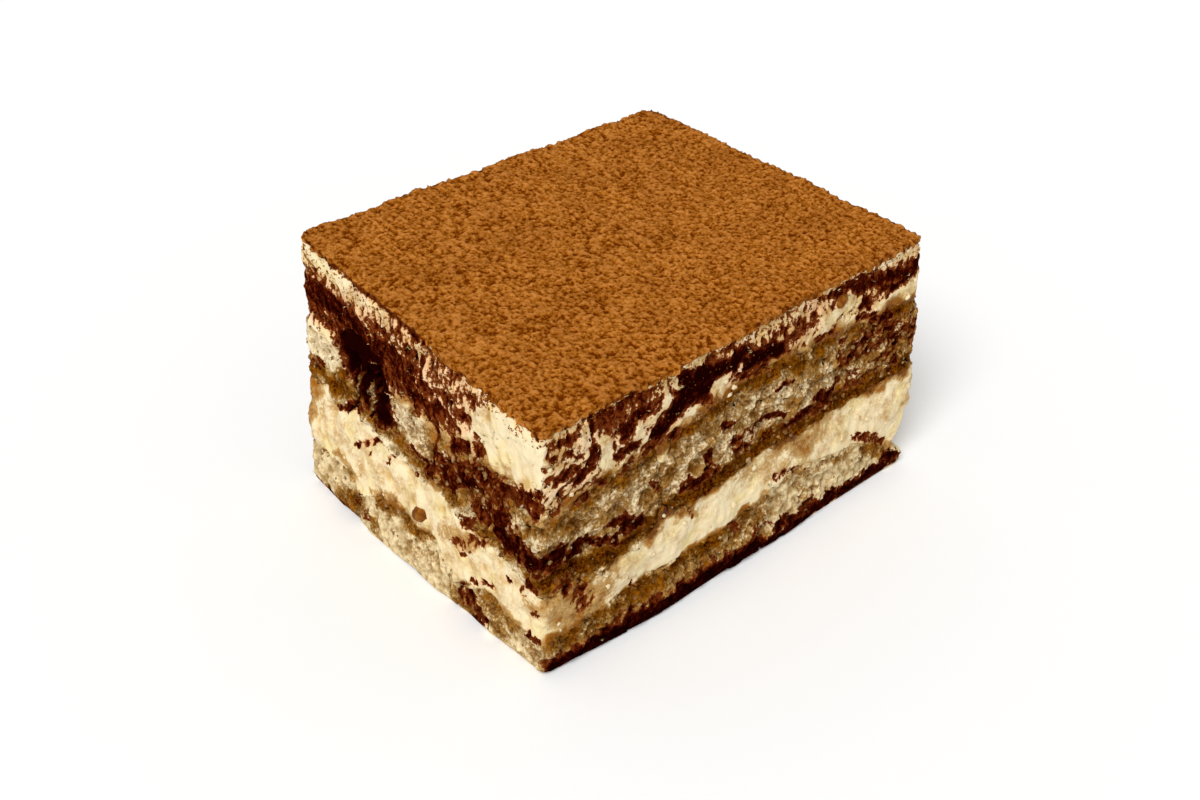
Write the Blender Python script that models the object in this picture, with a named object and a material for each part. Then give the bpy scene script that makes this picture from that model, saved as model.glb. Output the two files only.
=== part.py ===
"""A cut slice of tiramisu: sponge biscuits in two rows, cream between and above them, cocoa on top.

The slice is first made as a straight block, where the biscuits are cut off by its walls and the
creams are cut round the biscuits. Then one smooth movement of every point gives all pieces
together the leaning corners, bulging faces and rough crumb of the real slice.

Frame: metres, +Z up, origin at the middle of the base. The wall on the -Y side is the right-hand
cut face, the wall on the -X side is the left-hand cut face, and their common edge is the front.
"""

import math

import bmesh
import bpy
from mathutils import Vector, noise

MM = 0.001

# Driving dimensions of the straight block
LENGTH = 85 * MM
WIDTH = 67 * MM
HEIGHT = 50 * MM
COCOA_THICKNESS = 0.85 * MM
COCOA_SOAK = ((7 * MM, 0.3 * MM),)
GAP = 0.3 * MM
JOINT = 0.5 * MM

# Room that the creams leave round a biscuit along X, Y and Z; beside a joint it closes the cleft
ROOM = (0.6 * MM, 0.6 * MM, GAP)

# Vertical edges of the block, rounded by these radii (front, right, left, far)
EDGE_RADII = {(-1, -1): 0.8 * MM, (1, -1): 1.3 * MM, (-1, 1): 1.2 * MM, (1, 1): 1.6 * MM}
BASE_ROUNDING = 0.5 * MM

# A biscuit reaches this far past a wall before the wall cuts it off
OVERHANG = 9 * MM
LOAF_POWER = 6.0
PLAN_POWER = 12.0
BISCUIT_CUTS = (8, 6, 3)

# Spacing of the vertices that carry the unevenness
WALL_STEP = 3.3 * MM
WALL_RISE = 2.8 * MM
INNER_STEP = 9.0 * MM

# Heights in mm over the base, read along the right-hand face from the front edge.
UPPER_TOP_ALONG = ((0, 33), (15, 35), (30, 37), (50, 39), (70, 38), (85, 37))
UPPER_BASE_ALONG = ((0, 17), (10, 15.5), (20, 17.5), (35, 19.5), (50, 22), (85, 22.3))
LOWER_TOP_LEFT = ((0, 6.5), (10, 7.7), (20, 8.5), (40, 9.5), (48, 11.5))
LOWER_TOP_RIGHT = ((47, 12.8), (56, 13.8), (65, 12.7), (72, 11.5), (78, 8), (82, 4.8), (86, 2.4))
LOWER_TOP_CALM = ((0, 6.5), (30, 8), (60, 9), (85, 7.5))

# Heights in mm over the base, read along the left-hand face from the front edge to the back.
UPPER_TOP_BACK = ((0, 33), (7, 35), (17, 34.5), (25, 33), (35, 33.2), (43, 31.5), (55, 32.8), (67, 33.5))
UPPER_BASE_BACK = ((0, 17), (7, 18.5), (17, 20.5), (31, 20.5), (47, 22.5), (67, 22))
LOWER_TOP_BACK = ((0, 6.5), (12, 7.6), (20, 7), (32, 10), (42, 10), (50, 7.5), (57, 8.5), (67, 8.5))

# Each biscuit: reach along X, reach from the right-hand face to the back, and its top line, in mm.
UPPER_ROW = {
    "upper_biscuit_back": ((0, 85), (51.5, 67), UPPER_TOP_ALONG),
    "upper_biscuit_middle": ((0, 85), (28.5, 51.5), UPPER_TOP_ALONG),
    "upper_biscuit_front_left": ((0, 24.5), (0, 28.5), UPPER_TOP_ALONG),
    "upper_biscuit_front_right": ((24.5, 85), (0, 28.5), UPPER_TOP_ALONG),
}
LOWER_ROW = {
    "lower_biscuit_back": ((0, 85), (51.5, 67), LOWER_TOP_CALM),
    "lower_biscuit_middle": ((0, 85), (21, 51.5), LOWER_TOP_CALM),
    "lower_biscuit_front_left": ((0, 47.5), (0, 21), LOWER_TOP_LEFT),
    "lower_biscuit_front_right": ((47.5, 85), (0, 21), LOWER_TOP_RIGHT),
}
LOWER_BASE = -3 * MM
FAR_FADE = 0.65

# Where the creams stop beside the biscuits: parts of the upper row's thickness, and a height
MIDDLE_CREAM_TOP = 0.3
TOP_CREAM_BASE = 0.65
MIDDLE_CREAM_BASE = 4.2 * MM

# Dent at the front edge of the upper row, where cream hangs down over it: place and radii in plan
DRIP_PLACE = (4 * MM, 0.0)
DRIP_RADII = (4.5 * MM, 3.5 * MM)
DRIP_DEPTH = 3.2 * MM

# Hollow in the left-hand face: centre (x, y, z), radii and tilt in degrees of each blob, in mm
CREVICE = (
    ((-43.5, 18.0, 33.5), (3.2, 6.6, 6.2), 10),
    ((-44.0, 12.2, 30.5), (7.5, 2.5, 6.8), -8),
)
CREVICE_LUMPS = 0.16
CREVICE_LUMP_RATE = 1.7

# How far each corner of the real slice stands from the straight block's, in mm.
CORNER_MOVES = {
    (0, 0, 1): (-1.1, -0.4, -1.0),
    (1, 0, 1): (0.0, 0.6, -0.4),
    (0, 1, 1): (2.0, 0.0, 1.8),
    (1, 1, 1): (-1.4, 0.2, -0.8),
    (0, 0, 0): (-1.0, 0.0, 0.0),
    (1, 0, 0): (1.4, -0.2, 0.0),
    (0, 1, 0): (0.5, -0.5, 0.0),
}

# Swell of the walls in mm at each height in mm: creams stand out and sponge draws in.
WALL_SWELL = ((0, 0.7), (3, 0.9), (8, 0.7), (14, 1.1), (20, 0.7), (28, 0.3), (35, 0.5), (43, 0.9), (50, 0.5))

# The lowest biscuits stand out at their feet: share of that swell at each height in mm, then how far,
# and its share along the right-hand face and back along the left-hand face, in mm from the front edge
FOOT_HEIGHTS = ((0, 1), (3.5, 1), (9.5, 0))
RIGHT_FOOT = 1.7 * MM
RIGHT_FOOT_ALONG = ((0, 0.4), (12, 1), (44, 1), (60, 0.3), (75, 0))
LEFT_FOOT = 1.1 * MM
LEFT_FOOT_BACK = ((6, 0.3), (20, 0.5), (30, 1), (46, 1), (58, 0.6), (67, 0.3))

# The right end's own swell in mm at each height in mm, and how far it reaches back from the front.
# The upper row stands out there, and there is a nick under the cream.
END_SWELL = ((0, 0.5), (2.5, 0.2), (5.5, -3), (8.5, 0.4), (20, 1), (29, 2.2), (33, 2.2), (38, 1.1), (50, 0.6))
END_REACH = WIDTH / 3

RELIEF_DEPTH = 9 * MM
RELIEF = ((11 * MM, 0.7 * MM), (4.5 * MM, 0.4 * MM))
TOP_RELIEF = ((12 * MM, 0.35 * MM), (4 * MM, 0.12 * MM))
TOP_RELIEF_FADE = 6

# Keeps the noise of the four walls apart
WALL_OFFSET = Vector((0.3, 0.7, 0.1))

# A face counts as part of a wall within this distance of it, unless it is flatter than this
WALL_INSET = 0.25 * MM
MOST_UPRIGHT = 0.7

COCOA_COLOUR = (0.35, 0.115, 0.018)
CREAM_COLOUR = (0.83, 0.66, 0.38)
UPPER_COLOUR = (0.27, 0.16, 0.065)
LOWER_COLOUR = (0.46, 0.33, 0.16)


def smooth_line(knots, s):
    """Height at s of a line that runs level through each knot and eases between them."""
    if s <= knots[0][0]:
        return knots[0][1]
    for (s0, h0), (s1, h1) in zip(knots, knots[1:]):
        if s <= s1:
            t = (s - s0) / (s1 - s0)
            return h0 + (h1 - h0) * t * t * (3 - 2 * t)
    return knots[-1][1]


def surface(along_knots, back_knots, dent=0.0):
    """A height over the plan: one line on the right-hand face, another on the left-hand face.

    The second line's rise fades towards the far end. The dent is where the cream drips down.
    """

    def height(x, y):
        along, back = x + LENGTH / 2, y + WIDTH / 2
        fade = 1 - FAR_FADE * min(1.0, max(0.0, along / LENGTH))
        rise = fade * (smooth_line(back_knots, back / MM) - back_knots[0][1])
        drip_x, drip_y = (along - DRIP_PLACE[0]) / DRIP_RADII[0], (back - DRIP_PLACE[1]) / DRIP_RADII[1]
        line = (smooth_line(along_knots, along / MM) + rise) * MM
        return line - dent * math.exp(-(drip_x**2) - drip_y**2)

    return height


def cocoa_base(x, y):
    """Underside of the cocoa, which soaks a little deeper in some places."""
    return HEIGHT - COCOA_THICKNESS + ripples(Vector((x, y, 0)), COCOA_SOAK)


def plain_material(name, colour, roughness):
    material = bpy.data.materials.new(name)
    material.use_nodes = True
    shader = material.node_tree.nodes["Principled BSDF"]
    shader.inputs["Base Color"].default_value = (*colour, 1)
    shader.inputs["Roughness"].default_value = roughness
    shader.inputs["Metallic"].default_value = 0
    return material


def object_from(bm, name):
    mesh = bpy.data.meshes.new(name)
    bm.to_mesh(mesh)
    bm.free()
    obj = bpy.data.objects.new(name, mesh)
    bpy.context.scene.collection.objects.link(obj)
    return obj


def cut_by_planes(bm, faces_of, axis, low, high, step):
    """Knife cuts across the chosen faces at even steps along one axis."""
    count = max(1, round((high - low) / step))
    normal = Vector((0, 0, 0))
    normal[axis] = 1
    for i in range(1, count):
        point = normal * (low + (high - low) * i / count)
        faces = faces_of(bm)
        edges = {edge for face in faces for edge in face.edges}
        verts = {vert for edge in edges for vert in edge.verts}
        bmesh.ops.bisect_plane(
            bm, geom=[*verts, *edges, *faces], dist=1e-5, plane_co=point, plane_no=normal
        )


def block(name, low, high, base_rounding=0.0):
    """The part of the straight block between two surfaces given as heights over the plan."""
    bm = bmesh.new()
    bmesh.ops.create_cube(bm, size=1)
    bmesh.ops.scale(bm, vec=(LENGTH, WIDTH, HEIGHT), verts=bm.verts)
    bmesh.ops.translate(bm, vec=(0, 0, HEIGHT / 2), verts=bm.verts)
    for (side_x, side_y), radius in EDGE_RADII.items():
        corner = Vector((side_x * LENGTH / 2, side_y * WIDTH / 2))
        edges = [edge for edge in bm.edges if all((v.co.xy - corner).length < 1e-6 for v in edge.verts)]
        bmesh.ops.bevel(
            bm, geom=edges, offset=radius, segments=2, profile=0.5, affect="EDGES", material=-1
        )
    if base_rounding:
        edges = [edge for edge in bm.edges if all(v.co.z < 1e-6 for v in edge.verts)]
        bmesh.ops.bevel(
            bm, geom=edges, offset=base_rounding, segments=1, profile=0.5, affect="EDGES", material=-1
        )
    else:
        cut_by_planes(bm, lambda mesh: list(mesh.faces), 0, -LENGTH / 2, LENGTH / 2, INNER_STEP)
        cut_by_planes(bm, lambda mesh: list(mesh.faces), 1, -WIDTH / 2, WIDTH / 2, INNER_STEP)
        for vert in bm.verts:
            edge_height = low if vert.co.z < HEIGHT / 2 else high
            vert.co.z = edge_height(vert.co.x, vert.co.y)
        bmesh.ops.triangulate(bm, faces=bm.faces)
    return object_from(bm, name)


def biscuit(name, reach, heights, room=(0.0, 0.0, 0.0)):
    """A rounded loaf between a base and a top surface, larger all round by the room given."""
    (x0, x1), (y0, y1) = reach
    base_height, top_height = heights
    half = Vector(((x1 - x0) / 2 + room[0], (y1 - y0) / 2 + room[1]))
    centre = Vector(((x0 + x1) / 2, (y0 + y1) / 2, 0))
    bm = bmesh.new()
    bmesh.ops.create_cube(bm, size=2)
    for axis, cuts in enumerate(BISCUIT_CUTS):
        edges = [edge for edge in bm.edges if abs(edge.verts[0].co[axis] - edge.verts[1].co[axis]) > 0.01]
        bmesh.ops.subdivide_edges(bm, edges=edges, cuts=cuts, use_grid_fill=True)
    for vert in bm.verts:
        plan = (abs(vert.co.x) ** PLAN_POWER + abs(vert.co.y) ** PLAN_POWER) ** (1 / PLAN_POWER)
        power = (plan**LOAF_POWER + abs(vert.co.z) ** LOAF_POWER) ** (1 / LOAF_POWER)
        x = centre.x + half.x * vert.co.x / power
        y = centre.y + half.y * vert.co.y / power
        low, high = base_height(x, y), top_height(x, y)
        z = (low + high) / 2 + ((high - low) / 2 + room[2]) * vert.co.z / power
        vert.co = (x, y, z)
    bmesh.ops.triangulate(bm, faces=bm.faces)
    return object_from(bm, name)


def reach_of(along, back):
    """Plan range of a biscuit: past the walls where they cut it, half a joint short of the next one."""
    ends = []
    for (low, high), size in ((along, LENGTH), (back, WIDTH)):
        first = -OVERHANG if low <= 0 else low * MM + JOINT / 2
        last = size + OVERHANG if high * MM >= size - 1e-9 else high * MM - JOINT / 2
        ends.append((first - size / 2, last - size / 2))
    return ends


def crevice_blob(centre, radii, tilt):
    """An egg-shaped cutter, tilted in the plane of the left-hand face."""
    bm = bmesh.new()
    bmesh.ops.create_icosphere(bm, subdivisions=2, radius=1)
    for vert in bm.verts:
        vert.co *= 1 + CREVICE_LUMPS * noise.noise(vert.co * CREVICE_LUMP_RATE + Vector(centre))
        vert.co = Vector(vert.co[i] * radii[i] * MM for i in range(3))
    turn = Vector((0, 0, 1)).rotation_difference(Vector((0, math.tan(math.radians(tilt)), 1)))
    bmesh.ops.rotate(bm, verts=bm.verts, matrix=turn.to_matrix())
    bmesh.ops.translate(bm, verts=bm.verts, vec=Vector(centre) * MM)
    return object_from(bm, "crevice_cutter")


def apply_booleans(obj, operation, others):
    """Booleans of the object with each of the others, applied."""
    for other in others:
        modifier = obj.modifiers.new(operation.lower(), "BOOLEAN")
        modifier.operation = operation
        modifier.solver = "EXACT"
        modifier.object = other
        other.hide_render = True
        other.display_type = "WIRE"
    graph = bpy.context.evaluated_depsgraph_get()
    old = obj.data
    new = bpy.data.meshes.new_from_object(obj.evaluated_get(graph))
    obj.modifiers.clear()
    obj.data = new
    bpy.data.meshes.remove(old)


def drop_scraps(bm):
    """Deletes all but the largest body, since a cut can leave loose crumbs."""
    bodies, left = [], set(bm.faces)
    while left:
        body, edge_of_body = set(), [left.pop()]
        while edge_of_body:
            face = edge_of_body.pop()
            body.add(face)
            near = {other for edge in face.edges for other in edge.link_faces} & left
            left -= near
            edge_of_body.extend(near)
        bodies.append(body)
    bodies.sort(key=len)
    scraps = [face for body in bodies[:-1] for face in body]
    bmesh.ops.delete(bm, geom=scraps, context="FACES")


def wall_faces(bm):
    """Faces that lie on the block's four walls."""

    def on_wall(co):
        radius = EDGE_RADII[(-1 if co.x < 0 else 1, -1 if co.y < 0 else 1)]
        from_x, from_y = abs(co.x) - (LENGTH / 2 - radius), abs(co.y) - (WIDTH / 2 - radius)
        if from_x > 0 and from_y > 0:
            return math.hypot(from_x, from_y) > radius - WALL_INSET
        return max(from_x, from_y) > radius - WALL_INSET

    return [f for f in bm.faces if abs(f.normal.z) < MOST_UPRIGHT and all(on_wall(v.co) for v in f.verts)]


def ripples(co, waves):
    """Sum of smooth noises, each given as a wavelength and a height."""
    return sum(height * noise.noise(co / length) for length, height in waves)


def unevenness(co):
    """How far a point of the straight block moves to its place in the real slice."""
    part = (co.x / LENGTH + 0.5, co.y / WIDTH + 0.5, co.z / HEIGHT)
    move = Vector((0, 0, 0))
    for corner, shift in CORNER_MOVES.items():
        weight = 1.0
        for t, end in zip(part, corner):
            weight *= t if end else 1 - t
        move += weight * Vector(shift) * MM
    along, back = co.x + LENGTH / 2, co.y + WIDTH / 2
    foot = smooth_line(FOOT_HEIGHTS, co.z / MM)
    end_swell = smooth_line(END_SWELL, co.z / MM) * max(0.0, 1 - back / END_REACH)
    feet = {
        (1, -1): foot * RIGHT_FOOT * smooth_line(RIGHT_FOOT_ALONG, along / MM),
        (0, -1): foot * LEFT_FOOT * smooth_line(LEFT_FOOT_BACK, back / MM),
        (0, 1): end_swell * MM,
    }
    for axis, size in ((0, LENGTH), (1, WIDTH)):
        side = 1 if co[axis] > 0 else -1
        depth = (size / 2 - abs(co[axis])) / RELIEF_DEPTH
        near = (1 - min(1.0, max(0.0, depth))) ** 2
        swell = smooth_line(WALL_SWELL, co.z / MM) * MM + feet.get((axis, side), 0.0)
        rough = ripples(co + WALL_OFFSET * (side + 2 * axis), RELIEF)
        move[axis] += side * near * (swell + rough)
    move.z += part[2] ** TOP_RELIEF_FADE * ripples(Vector((co.x, co.y, 0)), TOP_RELIEF)
    return move


def finish(obj, material):
    """Cuts the walls fine enough to be uneven, moves every point to its place and shades it."""
    bm = bmesh.new()
    bm.from_mesh(obj.data)
    drop_scraps(bm)
    bmesh.ops.remove_doubles(bm, verts=bm.verts, dist=0.03 * MM)
    walls = wall_faces(bm)
    inner = [edge for edge in bm.edges if len(edge.link_faces) == 2 and set(edge.link_faces) <= set(walls)]
    bmesh.ops.dissolve_limit(bm, angle_limit=0.005, verts=[], edges=inner)
    cut_by_planes(bm, wall_faces, 0, -LENGTH / 2, LENGTH / 2, WALL_STEP)
    cut_by_planes(bm, wall_faces, 1, -WIDTH / 2, WIDTH / 2, WALL_STEP)
    cut_by_planes(bm, wall_faces, 2, 0, HEIGHT, WALL_RISE)
    bmesh.ops.triangulate(bm, faces=bm.faces, quad_method="BEAUTY", ngon_method="BEAUTY")
    for vert in bm.verts:
        vert.co += unevenness(vert.co)
    bm.to_mesh(obj.data)
    bm.free()
    obj.data.materials.clear()
    obj.data.materials.append(material)
    obj.data.shade_smooth()
    obj.data.set_sharp_from_angle(angle=0.7)


def stand_on_base(objects):
    """Moves the whole slice so that the origin is at the middle of its base."""
    points = [vert.co for obj in objects for vert in obj.data.vertices]
    low = Vector(min(p[i] for p in points) for i in range(3))
    high = Vector(max(p[i] for p in points) for i in range(3))
    shift = Vector((-(low.x + high.x) / 2, -(low.y + high.y) / 2, -low.z))
    for obj in objects:
        for vert in obj.data.vertices:
            vert.co += shift
        obj.data.update()


def build_slice():
    for obj in list(bpy.data.objects):
        bpy.data.objects.remove(obj)

    cocoa = plain_material("cocoa", COCOA_COLOUR, 0.95)
    cream = plain_material("cream", CREAM_COLOUR, 0.5)
    upper = plain_material("soaked_biscuit", UPPER_COLOUR, 0.85)
    lower = plain_material("pale_biscuit", LOWER_COLOUR, 0.85)

    upper_base = surface(UPPER_BASE_ALONG, UPPER_BASE_BACK)
    upper_top = surface(UPPER_TOP_ALONG, UPPER_TOP_BACK)

    def within_upper_row(part):
        return lambda x, y: upper_base(x, y) * (1 - part) + upper_top(x, y) * part

    knife = block("knife_block", None, None, BASE_ROUNDING)
    hollow = [crevice_blob(*blob) for blob in CREVICE]
    pieces, grown = {}, []
    for row, base, back_line, dent, material in (
        (UPPER_ROW, upper_base, UPPER_TOP_BACK, DRIP_DEPTH, upper),
        (LOWER_ROW, lambda x, y: LOWER_BASE, LOWER_TOP_BACK, 0, lower),
    ):
        for name, (along, back, top_line) in row.items():
            heights = (base, surface(top_line, back_line, dent))
            reach = reach_of(along, back)
            pieces[name] = (biscuit(name, reach, heights), material)
            grown.append(biscuit(name + "_room", reach, heights, ROOM))
            apply_booleans(pieces[name][0], "INTERSECT", [knife])

    pieces["middle_cream"] = (
        block("middle_cream", lambda x, y: MIDDLE_CREAM_BASE, within_upper_row(MIDDLE_CREAM_TOP)),
        cream,
    )
    pieces["top_cream"] = (
        block("top_cream", within_upper_row(TOP_CREAM_BASE), lambda x, y: cocoa_base(x, y) - GAP),
        cream,
    )
    pieces["cocoa_dusting"] = (block("cocoa_dusting", cocoa_base, lambda x, y: HEIGHT), cocoa)
    for name in ("middle_cream", "top_cream"):
        apply_booleans(pieces[name][0], "DIFFERENCE", grown)
    for name in ("top_cream", "middle_cream", "upper_biscuit_back", "upper_biscuit_middle"):
        apply_booleans(pieces[name][0], "DIFFERENCE", hollow)

    for helper in (knife, *hollow, *grown):
        bpy.data.objects.remove(helper)
    for obj, material in pieces.values():
        finish(obj, material)
    stand_on_base([obj for obj, material in pieces.values()])


build_slice()
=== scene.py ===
import math
import random

import bmesh
import bpy
import numpy as np
from mathutils import Matrix, Vector, noise


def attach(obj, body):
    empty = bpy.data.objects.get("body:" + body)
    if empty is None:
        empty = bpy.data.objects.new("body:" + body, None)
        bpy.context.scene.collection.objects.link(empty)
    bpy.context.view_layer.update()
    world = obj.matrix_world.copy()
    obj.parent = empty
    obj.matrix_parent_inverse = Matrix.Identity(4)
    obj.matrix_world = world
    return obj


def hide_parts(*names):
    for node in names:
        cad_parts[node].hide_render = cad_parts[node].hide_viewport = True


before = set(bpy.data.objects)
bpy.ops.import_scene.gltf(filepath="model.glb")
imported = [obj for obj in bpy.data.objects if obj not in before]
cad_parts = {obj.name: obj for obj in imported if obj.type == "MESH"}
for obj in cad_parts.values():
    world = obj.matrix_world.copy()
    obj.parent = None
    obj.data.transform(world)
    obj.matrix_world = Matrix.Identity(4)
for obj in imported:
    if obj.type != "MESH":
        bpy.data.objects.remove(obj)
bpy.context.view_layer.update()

mm = 0.001
noise.seed_set(1)  # without it the drift differs from run to run

# The photograph's viewing angle, with the front corner of the slice towards the camera
view = {"place": (-0.17771, -0.19374, 0.2045), "turn": (54.41, -0.911, -41.462), "lens": 52.81}

light = {"sky": 0.5, "sun": 2.4, "sunSpread": 28, "sunFrom": (-0.56, -0.30, 0.77)}

# Fineness of the shown faces: mm between points, how much longer than that an edge may stay, rounds
# of cutting, and rounds of smoothing
fine = {
    "wall": 0.36,
    "top": 0.36,
    "slack": 1.25,
    "cuts": 7,
    "smoothing": 14,
}

# Where the slice's walls stand in mm, and how high its corners are. Places on the walls are given in
# the lists below as mm from the front corner (or from the far corner, on the two walls that the
# photograph hides) and as a height on a slice of 50 mm.
walls = {"left": -43.8, "right": 42.5, "front": -32.9, "back": 34.0, "length": 85.0, "width": 67.0, "height": 50}
cornerHeight = {"front": 49.0, "right": 49.6, "left": 51.8, "far": 49.2}

# Across these directions the knife's strokes follow each other, on the walls that face along the width
# and along the length; just under the rim, from the first to the second height, the cocoa has run
# straight down
knifeLean = {"right": (-0.655, 0.0, 0.755), "left": (0.0, 0.936, -0.35)}
runLean = {"right": (1.0, 0.0, 0.0), "left": (0.0, 1.0, 0.0)}
runHeights = (42.0, 45.0)

# The hollow in the left-hand wall: centre and radii in mm
hollow = {"centre": (-42.9, 16.2, 32.0), "radii": (9.0, 8.5, 9.5)}


def eased(low, high, value):
    part = np.clip((value - low) / (high - low), 0, 1)
    return part * part * (3 - 2 * part)


# Smooth noise between about -1 and 1 at every point, with lumps of the given size in mm
def noiseAt(points, size, seed=0.0):
    scaled = (points / (np.asarray(size) * mm) + seed).tolist()
    return np.array([noise.noise(p) for p in scaled])


# The same in three directions at once
def driftAt(points, size, seed=0.0):
    scaled = (points / (size * mm) + seed).tolist()
    return np.array([noise.noise_vector(p) for p in scaled])


# Distance to the nearest of many scattered spots, in spacings
def spotsAt(points, spacing, seed=0.0):
    scaled = (points / (np.asarray(spacing) * mm) + seed).tolist()
    return np.array([noise.voronoi(p)[0][0] for p in scaled])


# How far each point lies along the length and across the width, from 0 to 1, and its height in mm
def sharesOf(points):
    x, y, z = (points / mm).T
    along = (x - walls["left"]) / (walls["right"] - walls["left"])
    across = (y - walls["front"]) / (walls["back"] - walls["front"])
    return along, across, z


# Height of the slice's top in mm, sloping evenly between its four corners
def topAt(along, across):
    near = cornerHeight["front"] * (1 - along) + cornerHeight["right"] * along
    far = cornerHeight["left"] * (1 - along) + cornerHeight["far"] * along
    return near * (1 - across) + far * across


# Where each point lies along the length, across the width and in height, on the slice's own scale
def placesOf(points):
    along, across, z = sharesOf(points)
    top = topAt(np.clip(along, 0, 1), np.clip(across, 0, 1))
    return along * walls["length"], across * walls["width"], z / top * walls["height"]


# How much of each wall point's normal lies along the length (axis 0) or the width (axis 1)
def facingOf(normals, axis):
    return eased(0.3, 0.7, normals[:, axis] ** 2 / (normals[:, 0] ** 2 + normals[:, 1] ** 2 + 1e-9))


# Smooth noise drawn out along the strokes that the knife left on the walls
def strokesAt(points, normals, thickness, reach, seed=0.0):
    def drawnOut(chosen, lean):
        lean, part = np.array(lean), points[chosen]
        across = (part @ lean)[:, None] * lean
        return noiseAt(part / reach + across * (1 / thickness - 1 / reach), 1.0, seed)

    facing = facingOf(normals, 1)
    run = eased(*runHeights, placesOf(points)[2])
    total = np.zeros(len(points))
    for wall, share in (("right", facing), ("left", 1 - facing)):
        for lean, weight in ((knifeLean[wall], share * (1 - run)), (runLean[wall], share * run)):
            chosen = weight > 0.01
            if chosen.any():
                total[chosen] += weight[chosen] * drawnOut(chosen, lean)
    return total


def newObject(name, data):
    made = bpy.data.objects.new(name, data)
    bpy.context.scene.collection.objects.link(made)
    return made


print("camera and light")

cameraData = bpy.data.cameras.new("photo_view")
cameraData.lens = view["lens"]
cameraData.sensor_width = 36
cameraData.clip_start = 0.01
camera = newObject("photo_view", cameraData)
camera.location = view["place"]
camera.rotation_euler = [math.radians(angle) for angle in view["turn"]]
bpy.context.scene.camera = camera
bpy.context.scene.view_settings.view_transform = "Standard"
bpy.context.scene.view_settings.look = "None"

world = bpy.data.worlds.new("white_room")
world.use_nodes = True
world.node_tree.nodes["Background"].inputs["Color"].default_value = (1, 1, 1, 1)
world.node_tree.nodes["Background"].inputs["Strength"].default_value = light["sky"]
bpy.context.scene.world = world

sunData = bpy.data.lights.new("soft_sun", "SUN")
sunData.energy = light["sun"]
sunData.angle = math.radians(light["sunSpread"])
sun = newObject("soft_sun", sunData)
sun.rotation_euler = (-Vector(light["sunFrom"])).to_track_quat("-Z", "Y").to_euler()


# Sets the inputs of a node, or links them where a socket is given
def feed(tree, node, inputs):
    for name, value in inputs.items():
        socket = node.inputs[name]
        if isinstance(value, bpy.types.NodeSocket):
            tree.links.new(value, socket)
        elif socket.type == "RGBA" and len(value) == 3:
            socket.default_value = (*value, 1)
        else:
            socket.default_value = value


def add(tree, kind, inputs, **settings):
    made = tree.nodes.new(kind)
    for name, value in settings.items():
        setattr(made, name, value)
    feed(tree, made, inputs)
    return made


def math2(tree, operation, a, b, clamp=False):
    return add(tree, "ShaderNodeMath", {0: a, 1: b}, operation=operation, use_clamp=clamp).outputs[0]


def plus(tree, a, b, clamp=False):
    return math2(tree, "ADD", a, b, clamp)


def minus(tree, a, b):
    return math2(tree, "SUBTRACT", a, b)


def times(tree, a, b, clamp=False):
    return math2(tree, "MULTIPLY", a, b, clamp)


# Sum of two values, each times its weight
def summed(tree, a, weightA, b, weightB):
    return plus(tree, times(tree, a, weightA), times(tree, b, weightB))


def mixed(tree, factor, a, b, blend="MIX"):
    settings = {"data_type": "RGBA", "blend_type": blend, "clamp_factor": True}
    return add(tree, "ShaderNodeMix", {0: factor, 6: a, 7: b}, **settings).outputs[2]


# Cloudy noise, its scale counted per metre
def cloud(tree, place, scale, detail, rough=0.5, distortion=0.0):
    inputs = {"Vector": place, "Scale": scale, "Detail": detail, "Roughness": rough, "Distortion": distortion}
    return add(tree, "ShaderNodeTexNoise", inputs).outputs["Fac"]


# Brings a value from the range low to high into the range start to end
def ranged(tree, value, low, high, start=0.0, end=1.0, kind="LINEAR"):
    inputs = {0: value, 1: low, 2: high, 3: start, 4: end}
    return add(tree, "ShaderNodeMapRange", inputs, interpolation_type=kind).outputs[0]


def bumped(tree, height, strength, distance):
    inputs = {"Height": height, "Strength": strength, "Distance": distance}
    return add(tree, "ShaderNodeBump", inputs).outputs[0]


def ramp(tree, value, stops):
    made = add(tree, "ShaderNodeValToRGB", {"Fac": value})
    while len(made.color_ramp.elements) < len(stops):
        made.color_ramp.elements.new(0.5)
    for element, (position, colour) in zip(made.color_ramp.elements, stops):
        element.position = position
        element.color = (*colour, 1)
    return made.outputs["Color"]


def newGroup(name, inputs, outputs):
    tree = bpy.data.node_groups.new(name, "ShaderNodeTree")
    for socketName, kind, value in inputs:
        socket = tree.interface.new_socket(socketName, in_out="INPUT", socket_type="NodeSocket" + kind)
        if value is not None:
            socket.default_value = value
    for socketName, kind in outputs:
        tree.interface.new_socket(socketName, in_out="OUTPUT", socket_type="NodeSocket" + kind)
    return tree, tree.nodes.new("NodeGroupInput").outputs, tree.nodes.new("NodeGroupOutput")


def useGroup(tree, group, inputs):
    made = tree.nodes.new("ShaderNodeGroup")
    made.node_tree = group
    feed(tree, made, inputs)
    return made.outputs


def newMaterial(name):
    material = bpy.data.materials.new(name)
    material.use_nodes = True
    tree = material.node_tree
    return material, tree, tree.nodes["Principled BSDF"]


def objectPlace(tree):
    return add(tree, "ShaderNodeTexCoord", {}).outputs["Object"]


def attribute(tree, name):
    return add(tree, "ShaderNodeAttribute", {}, attribute_name=name).outputs["Fac"]


print("materials")

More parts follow.
